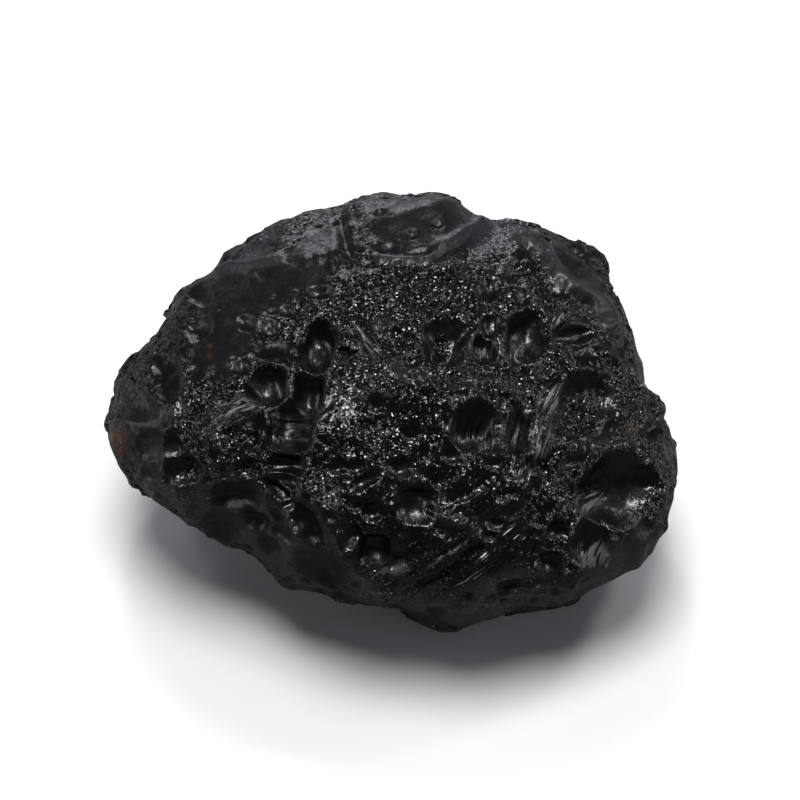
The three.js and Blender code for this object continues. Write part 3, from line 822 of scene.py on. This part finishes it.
def surface_masks(points, across, up, face, inside):
    """How much of each kind of surface every place has."""
    calm = face * patch_share(CALM_PATCHES, across, up)
    sparkle = face * patch_share(SPARKLE_PATCHES, across, up)
    flow, along, flow_share = flow_families(across, up)
    flow_share *= face
    rough = face * patch_share(ROUGH_PATCHES, across, up)
    rough *= ROUGH_LOW + (1 - ROUGH_LOW) * clumps(points, *ROUGH_CLUMPS)
    rough *= 1 - CALM_OFF_ROUGH * calm
    rough = np.maximum(rough, sparkle) * (1 - FLOW_OFF_ROUGH * flow_share)
    crest = crest_share(across, up)
    smooth = face * np.maximum(patch_share(SMOOTH_PATCHES, across, up), crest)
    # Where the painted speck glints fall: open glass, fewer on smooth and calm stretches
    specks = SPECK_SHARE * (1 - inside) * (1 - SMOOTH_OFF_SPECKS * smooth) * (1 - CALM_OFF_SPECKS * calm)
    specks *= clumps(points, *SPECK_CLUMPS)
    inside = np.maximum(inside, CALM_AS_INSIDE * calm)
    # Painted reflection of the floor on the lower stretches, and painted highlight on the upper stretches
    # and the smooth crests
    painted_reflection = face * np.maximum(patch_share(PAINTED_REFLECTION_PATCHES, across, up), crest)
    painted_reflection *= 1 - INSIDE_OFF_PAINTED_REFLECTION * inside
    stain = face * stain_share(across, up)
    return dict(
        inside=inside, rough=rough, sparkle=sparkle, smooth=smooth, painted_reflection=painted_reflection, stain=stain,
        specks=specks, flow=flow, along=along, flow_share=flow_share,
    )


def add_broken_relief(relief, points, masks):
    """Adds the hollows of the broken glass and the flow lines to the relief."""
    broken = CELL_CALM + (1 - CELL_CALM) * masks["rough"]
    broken *= 1 - masks["inside"]
    broken *= 1 - SMOOTH_OFF_CELLS * masks["smooth"]
    for size, height, seed in CELL_ROUNDS:
        share = broken * clumps(points, CLUMP_REACH * size, seed, *CELL_CLUMPS)
        relief += height * share * (cell_values(points, size, seed) - CELL_LEVEL)
    relief += FLOW_HEIGHT * masks["flow_share"] * line_noise(masks["flow"], FLOW_SPACING, FLOW_SEED)


def shape_form(mesh, settings):
    """Gives the mesh its form and its relief but for the small pits; returns the masks."""
    direction = front_heavy(unit(read_vectors(mesh, "co")), FRONT_SHARE)
    points, across, up = form_points(direction)
    normals = form_normals(direction)
    face = smooth_step(normals @ OUT, *FACE_EDGE)
    relief, inside, chipped = big_relief(points, across, up, face, settings)
    masks = surface_masks(points, across, up, face, inside)
    masks["face"] = face
    masks["chipped"] = chipped
    add_broken_relief(relief, points, masks)
    write_points(mesh, points + normals * relief[:, None])
    return masks


def carve_pits(mesh, weight, count, smallest, largest, depth_share, seed):
    """Small bowls at seeded places, more of them where the weight is high."""
    points = read_vectors(mesh, "co")
    tree = kdtree.KDTree(len(points))
    for index, point in enumerate(points):
        tree.insert(point, index)
    tree.balance()
    chance = weight * vertex_areas(mesh)
    draws = np.random.default_rng(seed)
    chosen = draws.choice(len(points), size=count, p=chance / chance.sum())
    sizes = smallest + (largest - smallest) * draws.random(count) ** 2
    floor = np.zeros(len(points))
    for index, radius in zip(chosen, sizes):
        depth = radius * depth_share
        for _, near, gap in tree.find_range(points[index], radius):
            floor[near] = min(floor[near], depth * ((gap / radius) ** 2 - 1))
    write_points(mesh, points + read_vectors(mesh, "normal") * floor[:, None])


def pit_surface(mesh, masks, settings):
    face = masks["face"]
    open_glass = 1 - masks["inside"]
    open_glass *= 1 - SMOOTH_OFF_PITS * masks["smooth"]
    open_glass *= 1 - FLOW_OFF_PITS * masks["flow_share"]
    for (count, *pit), face_weight in zip(PIT_ROUNDS, PIT_FACE_SHARES):
        weight = open_glass * (1 - face + face * face_weight * (PIT_LOW + masks["rough"]))
        carve_pits(mesh, weight, int(count * settings.pit_density), *pit)


def mark_wear_and_rim_highlights(mesh, masks):
    """Marks where the surface bends outwards sharply, as worn edges, and the tops of the thin rims, where a
    highlight is painted, from 0 to 1.
    """
    points = read_vectors(mesh, "co")
    bend = ((points - neighbour_mean(mesh, points)) * read_vectors(mesh, "normal")).sum(axis=1)
    sharp = neighbour_mean(mesh, bend / np.sqrt(vertex_areas(mesh)))
    pale_marks = EDGE_SHARE * (1 - SMOOTH_OFF_EDGES * masks["smooth"]) * smooth_step(sharp, *EDGE_BEND)
    # Worn edges, and the rim tops that get a painted highlight
    masks["edge"] = np.maximum(pale_marks, masks["chipped"])


def settle(mesh):
    """Sets the stone in the solid's place, in metres, and wears its seat flat."""
    points = (read_vectors(mesh, "co") + MIDDLE) * MM
    lowest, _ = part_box(NODE)
    points[:, 2] = np.maximum(points[:, 2], lowest.z)
    write_points(mesh, points)


def make_stone(settings):
    stone = add_ball(settings.cuts)
    stone.name = "tektite_stone"
    mesh = stone.data
    mesh.name = "tektite_stone"
    masks = shape_form(mesh, settings)
    pit_surface(mesh, masks, settings)
    mark_wear_and_rim_highlights(mesh, masks)
    settle(mesh)
    for name in MASKS:
        add_attribute(mesh, name, masks[name])
    deselect_all()
    stone.select_set(True)
    bpy.context.view_layer.objects.active = stone
    bpy.ops.object.shade_smooth()
    mesh.materials.append(make_black_glass(settings))
    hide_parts(NODE)
    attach(stone, "root")


# ---- finish

DEEP_BLACK = (0.0010, 0.0011, 0.0014, 1)
SOFT_BLACK = (0.0030, 0.0032, 0.0038, 1)
# Pale colour painted over the glass as a reflection of the floor and as a highlight on the crests and upper
# stretches
PAINTED_REFLECTION = (0.015, 0.0155, 0.0178, 1)
BROKEN_GLASS = (0.008, 0.008, 0.009, 1)
# Pale glass for worn edges, and a painted highlight along the tops of the thin rims
WORN_AND_HIGHLIT_GLASS = (0.26, 0.26, 0.264, 1)
# Painted glints on some of the streak cells
PAINTED_STREAK_GLINT = (0.17, 0.17, 0.173, 1)
# Painted glints on scattered small specks
PAINTED_SPECK_GLINT = (0.14, 0.14, 0.142, 1)
CLAY = (0.055, 0.021, 0.005, 1)
# The sheen is the haze that fine dust gives the glass at a low angle
GLASS_VALUES = (("IOR", 1.5), ("Specular IOR Level", 0.35), ("Sheen Weight", 0.06), ("Sheen Roughness", 0.3))
# For plain, broken, bowl and satin glass
ROUGHNESS = (0.19, 0.12, 0.27, 0.40)
FACET_TILT = (0.54, 1.3, 0.12, 0.15)
# For plain and sparkling streaks
STREAK_TILT = (0.3, 1.0)
# Patterns, by how many of their parts go in a metre
BLOTCHES = 420.0
GRAINS = 5500.0
FACETS = 8500.0
STREAK_FACETS = 8000.0
STREAKS = 7000.0
SPECKS = 9000.0
WARPS = 5200.0
WARP_REACH = 0.00035
FACET_SIZES = (1.0, 0.55)
CELL_COLOR_MIDDLE = (0.5, 0.5, 0.5)
# A millimetre across and along the flow, as the streaks' pattern measures it; the second draws it out
STREAK_STEP = (0.001, 0.00008)
FLOW_LINES_PER_MM = 7.0
FLOW_LINE_HEIGHT = 0.0001
# Below a band's first number nothing of a pattern shows, and above its second all does
GRAIN_BAND = (0.47, 0.6)
STREAK_BAND = (0.55, 0.7)
SPECK_BAND = (0.9, 0.96)


def feed(tree, socket, value):
    """Links a socket to the one that feeds it, or fills it with a plain value."""
    if isinstance(value, bpy.types.NodeSocket):
        tree.links.new(value, socket)
    else:
        socket.default_value = value


def add_node(tree, kind, inputs, **settings):
    """A node with its settings; inputs say what feeds or fills each socket."""
    made = tree.nodes.new(kind)
    for name, value in settings.items():
        setattr(made, name, value)
    for name, value in inputs.items():
        feed(tree, made.inputs[name], value)
    return made.outputs


def multiply(tree, first, second):
    return add_node(tree, "ShaderNodeMath", {0: first, 1: second}, operation="MULTIPLY")[0]


def vector_math(tree, operation, inputs):
    return add_node(tree, "ShaderNodeVectorMath", inputs, operation=operation)[0]


def soft_noise(tree, place, scale, detail):
    return add_node(tree, "ShaderNodeTexNoise", {"Vector": place, "Scale": scale, "Detail": detail})


def cell_color(tree, place, scale):
    return add_node(tree, "ShaderNodeTexVoronoi", {"Vector": place, "Scale": scale})["Color"]


def mix_colors(tree, share, first, second):
    return add_node(tree, "ShaderNodeMix", {0: share, 6: first, 7: second}, data_type="RGBA")[2]


def mix_vectors(tree, share, first, second):
    return add_node(tree, "ShaderNodeMix", {0: share, 4: first, 5: second}, data_type="VECTOR")[1]


def mix_values(tree, share, first, second):
    return add_node(tree, "ShaderNodeMapRange", {"Value": share, "To Min": first, "To Max": second})[0]


def pick_band(tree, value, band):
    low, high = band
    return add_node(tree, "ShaderNodeMapRange", {"Value": value, "From Min": low, "From Max": high})[0]


def pick_cells(tree, place, scale, band):
    """Picks some of many small cells, those whose own random number lies above the band."""
    number = add_node(tree, "ShaderNodeSeparateColor", {"Color": cell_color(tree, place, scale)})[0]
    return pick_band(tree, number, band)


def by_surface(tree, masks, plain_value, broken, bowl, satin):
    """A value that suits each kind of surface."""
    value = mix_values(tree, masks["rough"], plain_value, broken)
    value = mix_values(tree, masks["inside"], value, bowl)
    return mix_values(tree, masks["smooth"], value, satin)


def start_group(name, inputs, output_name, output_kind):
    """A node group with the sockets it is given and the one that gives its result."""
    group = bpy.data.node_groups.new(name, "ShaderNodeTree")
    for socket_name, kind in inputs.items():
        group.interface.new_socket(name=socket_name, in_out="INPUT", socket_type=kind)
    group.interface.new_socket(name=output_name, in_out="OUTPUT", socket_type=output_kind)
    given = group.nodes.new("NodeGroupInput").outputs
    result = group.nodes.new("NodeGroupOutput").inputs[output_name]
    return group, given, result


def make_facet_group():
    """Small flat facets that each face their own way, in two sizes."""
    inputs = {"Vector": "NodeSocketVector", "Facets Per Metre": "NodeSocketFloat", "Tilt": "NodeSocketFloat"}
    group, given, result = start_group("Broken Facets", inputs, "Normal", "NodeSocketVector")
    warp = soft_noise(group, given["Vector"], WARPS, detail=1.0)["Color"]
    shift = vector_math(group, "SCALE", {0: warp, "Scale": WARP_REACH})
    place = vector_math(group, "ADD", {0: given["Vector"], 1: shift})
    turned = add_node(group, "ShaderNodeNewGeometry", {})["Normal"]
    for size_share in FACET_SIZES:
        cells = cell_color(group, place, multiply(group, given["Facets Per Metre"], size_share))
        swing = vector_math(group, "SUBTRACT", {0: cells, 1: CELL_COLOR_MIDDLE})
        push = vector_math(group, "SCALE", {0: swing, "Scale": given["Tilt"]})
        turned = vector_math(group, "ADD", {0: turned, 1: push})
    feed(group, result, vector_math(group, "NORMALIZE", {0: turned}))
    return group


def make_flow_group():
    """Fine lines that run along the flow of the glass."""
    inputs = {name: "NodeSocketFloat" for name in ("Across Flow", "Share", "Lines Per Millimetre")}
    group, given, result = start_group("Flow Lines", inputs, "Height", "NodeSocketFloat")
    lines = add_node(group, "ShaderNodeTexNoise", {
        "W": given["Across Flow"], "Scale": given["Lines Per Millimetre"], "Detail": 2.0,
    }, noise_dimensions="1D")
    feed(group, result, multiply(group, lines[0], given["Share"]))
    return group


def place_group(tree, group, inputs):
    return add_node(tree, "ShaderNodeGroup", inputs, node_tree=group)[0]


def glass_color(tree, place, streak_place, masks):
    """Black glass, paler where it is broken, with worn edges, brown where clay is left, and with painted
    reflections, highlights and glints on the lower and upper stretches, the rim tops, the streaks and the
    specks.
    """
    grains = soft_noise(tree, place, GRAINS, detail=1.0)[0]
    # Worn edges, and painted highlights along the rim tops, broken into grains
    pale_marks = multiply(tree, masks["edge"], pick_band(tree, grains, GRAIN_BAND))
    # Painted glints on some streak cells, where sparkling patches meet the flow lines
    streaks = multiply(tree, masks["sparkle"], masks["flow_share"])
    streaks = multiply(tree, streaks, pick_cells(tree, streak_place, STREAKS, STREAK_BAND))
    # Painted glints on some small speck cells
    specks = multiply(tree, pick_cells(tree, place, SPECKS, SPECK_BAND), masks["specks"])
    color = mix_colors(tree, soft_noise(tree, place, BLOTCHES, detail=4.0)[0], DEEP_BLACK, SOFT_BLACK)
    for share, coat in (
        (masks["painted_reflection"], PAINTED_REFLECTION),
        (masks["sparkle"], BROKEN_GLASS),
        (pale_marks, WORN_AND_HIGHLIT_GLASS),
        (streaks, PAINTED_STREAK_GLINT),
        (specks, PAINTED_SPECK_GLINT),
        (masks["stain"], CLAY),
    ):
        color = mix_colors(tree, share, color, coat)
    return color


def glass_normal(tree, place, streak_place, masks, grain):
    """Broken facets, drawn out into streaks where the glass has flowed, with fine flow lines over them."""
    facet_group = make_facet_group()
    tilt = multiply(tree, by_surface(tree, masks, *FACET_TILT), grain)
    facets = place_group(tree, facet_group, {"Vector": place, "Facets Per Metre": FACETS, "Tilt": tilt})
    tilt = mix_values(tree, masks["sparkle"], *STREAK_TILT)
    streaks = place_group(tree, facet_group, {
        "Vector": streak_place, "Facets Per Metre": STREAK_FACETS, "Tilt": tilt,
    })
    height = place_group(tree, make_flow_group(), {
        "Across Flow": masks["flow"],
        "Share": masks["flow_share"],
        "Lines Per Millimetre": FLOW_LINES_PER_MM,
    })
    return add_node(tree, "ShaderNodeBump", {
        "Height": height,
        "Distance": FLOW_LINE_HEIGHT,
        "Normal": mix_vectors(tree, masks["flow_share"], facets, streaks),
    })[0]


def make_black_glass(settings):
    material = bpy.data.materials.new("black_glass")
    material.use_nodes = True
    tree = material.node_tree
    shader = tree.nodes["Principled BSDF"].inputs
    for name, value in GLASS_VALUES:
        shader[name].default_value = value
    masks = {name: add_node(tree, "ShaderNodeAttribute", {}, attribute_name=name)["Fac"] for name in MASKS}
    place = add_node(tree, "ShaderNodeTexCoord", {})["Object"]
    streak_place = add_node(tree, "ShaderNodeCombineXYZ", {
        "X": multiply(tree, masks["flow"], STREAK_STEP[0]),
        "Y": multiply(tree, masks["along"], STREAK_STEP[1]),
    })[0]
    feed(tree, shader["Base Color"], glass_color(tree, place, streak_place, masks))
    feed(tree, shader["Roughness"], by_surface(tree, masks, *ROUGHNESS))
    feed(tree, shader["Normal"], glass_normal(tree, place, streak_place, masks, settings.grain))
    return material


# ---- the stage

SHOT_DISTANCE = 0.260
SHOT_PIXELS = 800
PIXELS_PER_MM = 14.4
SHIFT_PIXELS = 10
SHOT_WIDTH = SHOT_PIXELS / PIXELS_PER_MM * MM
SHOT_SHIFT = SHIFT_PIXELS / SHOT_PIXELS
SENSOR = 36.0
SHOT_NEAREST = 0.01
FLOOR_SIZE = 3.0
FLOOR_COLOR = (0.9, 0.9, 0.9, 1)
FLOOR_ROUGHNESS = 0.8
MIRRORED_FLOOR_COLOR = (0.09, 0.09, 0.10, 1)
ROOM_COLOR = (0.85, 0.85, 1.0, 1)
# Where the lamps aim, and their colours
FLOOR_AIM = (0, 0, 0)
STONE_AIM = (0, 0, 0.01)
WHITE = (1, 1, 1)
CARD_WHITE = (0.90, 0.90, 1.0)
COOL_WHITE = (0.97, 0.98, 1.0)
DAYLIGHT = (0.9, 0.94, 1.0)


def make_floor():
    deselect_all()
    bpy.ops.mesh.primitive_plane_add(size=FLOOR_SIZE, location=(0, 0, 0))
    floor = bpy.context.object
    floor.name = "studio_floor"
    material = bpy.data.materials.new("white_floor")
    material.use_nodes = True
    tree = material.node_tree
    shader = tree.nodes["Principled BSDF"].inputs
    mirrored = add_node(tree, "ShaderNodeLightPath", {})["Is Glossy Ray"]
    feed(tree, shader["Base Color"], mix_colors(tree, mirrored, FLOOR_COLOR, MIRRORED_FLOOR_COLOR))
    feed(tree, shader["Roughness"], FLOOR_ROUGHNESS)
    floor.data.materials.append(material)


def add_softbox(place, size, power, aim, color, lights_floor, mirrored):
    bpy.ops.object.light_add(type="AREA", location=place)
    lamp = bpy.context.object
    lamp.data.shape = "DISK"
    lamp.data.size = size
    lamp.data.energy = power
    lamp.data.color = color
    lamp.rotation_euler = (Vector(place) - Vector(aim)).to_track_quat("Z", "Y").to_euler()
    lamp.visible_diffuse = lights_floor
    lamp.visible_glossy = mirrored


def make_lights(settings):
    key = settings.key_power
    share = settings.mirrored_share
    bulb = settings.bulb_power
    card = settings.card_power
    back = settings.back_power
    # place, size, power, aim, colour, whether it lights the floor, whether the glass mirrors it
    lamps = (
        ((-0.02, -0.045, 0.5), 0.26, key * (1 - share), FLOOR_AIM, WHITE, True, False),
        ((-0.02, -0.045, 0.5), 0.26, key * share, FLOOR_AIM, WHITE, True, True),
        ((-0.02, -0.05, 0.49), 0.12, bulb, FLOOR_AIM, WHITE, False, True),
        ((-0.45, -0.05, 0.27), 0.12, bulb / 5, FLOOR_AIM, WHITE, False, True),
        ((0.45, -0.05, 0.27), 0.12, bulb / 5, FLOOR_AIM, WHITE, False, True),
        ((-0.04, 0.56, 0.10), 0.22, settings.window_power, STONE_AIM, DAYLIGHT, False, True),
        ((-0.5, 0.1, 0.12), 0.3, card, FLOOR_AIM, CARD_WHITE, True, True),
        ((0.5, 0.1, 0.12), 0.3, card, FLOOR_AIM, CARD_WHITE, True, True),
        ((-0.05, 0.6, 0.2), 0.4, 2 * card, FLOOR_AIM, CARD_WHITE, True, False),
        ((-0.05, 0.235, 0.44), 0.07, back, STONE_AIM, COOL_WHITE, True, False),
        ((-0.28, 0.12, 0.40), 0.05, back / 4, STONE_AIM, COOL_WHITE, True, False),
        ((0.26, 0.14, 0.40), 0.09, back * 3 / 4, STONE_AIM, COOL_WHITE, True, True),
    )
    for lamp in lamps:
        add_softbox(*lamp)


def make_room(strength):
    world = bpy.data.worlds.new("studio_room")
    world.use_nodes = True
    background = world.node_tree.nodes["Background"].inputs
    background["Color"].default_value = ROOM_COLOR
    background["Strength"].default_value = strength
    bpy.context.scene.world = world
    bpy.context.scene.view_settings.view_transform = "Standard"


def make_camera():
    place = MIDDLE * MM + OUT * SHOT_DISTANCE
    bpy.ops.object.camera_add(location=place, rotation=(math.pi / 2 - FACE_LEAN, 0, 0))
    camera = bpy.context.object
    camera.data.sensor_width = SENSOR
    camera.data.lens = SENSOR * SHOT_DISTANCE / SHOT_WIDTH
    camera.data.shift_x = SHOT_SHIFT
    camera.data.shift_y = SHOT_SHIFT
    camera.data.clip_start = SHOT_NEAREST
    bpy.context.scene.camera = camera


# ---- add-on parts

class TektiteStoneSettings(bpy.types.PropertyGroup):
    cuts: bpy.props.IntProperty(
        name="Mesh cuts", description="How finely the stone's mesh is divided", default=48, min=8, max=48)
    bowl_depth: bpy.props.FloatProperty(
        name="Bowl depth", description="Depth of the big bowls, as a share of the usual",
        default=1.0, min=0.2, max=1.5, subtype="FACTOR")
    pit_density: bpy.props.FloatProperty(
        name="Pit density", description="Number of small pits, as a share of the usual",
        default=1.0, min=0.0, max=2.0, subtype="FACTOR")
    grain: bpy.props.FloatProperty(
        name="Grain", description="Strength of the fine grain",
        default=1.0, min=0.0, max=1.0, subtype="FACTOR")


class TektiteStageSettings(bpy.types.PropertyGroup):
    key_power: bpy.props.FloatProperty(
        name="Softbox power", description="Power of the softbox overhead",
        default=2.65, min=0.0, unit="POWER")
    mirrored_share: bpy.props.FloatProperty(
        name="Mirrored share", description="Share of the overhead softbox that the glass mirrors",
        default=0.22, min=0.0, max=1.0, subtype="FACTOR")
    bulb_power: bpy.props.FloatProperty(
        name="Bulb power", description="Power of the softbox's bright middle, seen only in reflections",
        default=2.4, min=0.0, unit="POWER")
    back_power: bpy.props.FloatProperty(
        name="Back softbox power", description="Power of the small softboxes behind the stone",
        default=0.45, min=0.0, unit="POWER")
    window_power: bpy.props.FloatProperty(
        name="Window power", description="Power of the window behind the stone, seen only in reflections",
        default=0.55, min=0.0, unit="POWER")
    card_power: bpy.props.FloatProperty(
        name="Card power", description="Power of the pale cards at the sides and back",
        default=0.45, min=0.0, unit="POWER")
    room: bpy.props.FloatProperty(
        name="Room light", description="Strength of the light from the room", default=0.05, min=0.0)


class TEKTITE_OT_stone(bpy.types.Operator):
    """Model the stone: its form, bowls, ridges, grooves, pits and glass finish"""
    bl_idname = "tektite.stone"
    bl_label = "Model Stone"

    def execute(self, context):
        make_stone(context.scene.tektite_stone)
        return {"FINISHED"}


class TEKTITE_OT_stage(bpy.types.Operator):
    """Set up the pale floor, the soft light and the camera"""
    bl_idname = "tektite.stage"
    bl_label = "Set Up Stage"

    def execute(self, context):
        make_floor()
        make_lights(context.scene.tektite_stage)
        make_room(context.scene.tektite_stage.room)
        make_camera()
        return {"FINISHED"}


class TEKTITE_PT_sidebar(bpy.types.Panel):
    """Lists what the stone and its stage are made from"""
    bl_idname = "TEKTITE_PT_sidebar"
    bl_label = "Tektite"
    bl_space_type = "VIEW_3D"
    bl_region_type = "UI"
    bl_category = "Tektite"

    def draw(self, context):
        for settings, operator in (
            (context.scene.tektite_stone, TEKTITE_OT_stone),
            (context.scene.tektite_stage, TEKTITE_OT_stage),
        ):
            for name in type(settings).__annotations__:
                self.layout.prop(settings, name)
            self.layout.operator(operator.bl_idname)


CLASSES = (
    TektiteStoneSettings,
    TektiteStageSettings,
    TEKTITE_OT_stone,
    TEKTITE_OT_stage,
    TEKTITE_PT_sidebar,
)


def register():
    for item in CLASSES:
        bpy.utils.register_class(item)
    bpy.types.Scene.tektite_stone = bpy.props.PointerProperty(type=TektiteStoneSettings)
    bpy.types.Scene.tektite_stage = bpy.props.PointerProperty(type=TektiteStageSettings)


def unregister():
    del bpy.types.Scene.tektite_stage
    del bpy.types.Scene.tektite_stone
    for item in reversed(CLASSES):
        bpy.utils.unregister_class(item)


def main():
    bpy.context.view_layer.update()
    register()
    bpy.ops.tektite.stone()
    bpy.ops.tektite.stage()


if __name__ == "__main__":
    main()
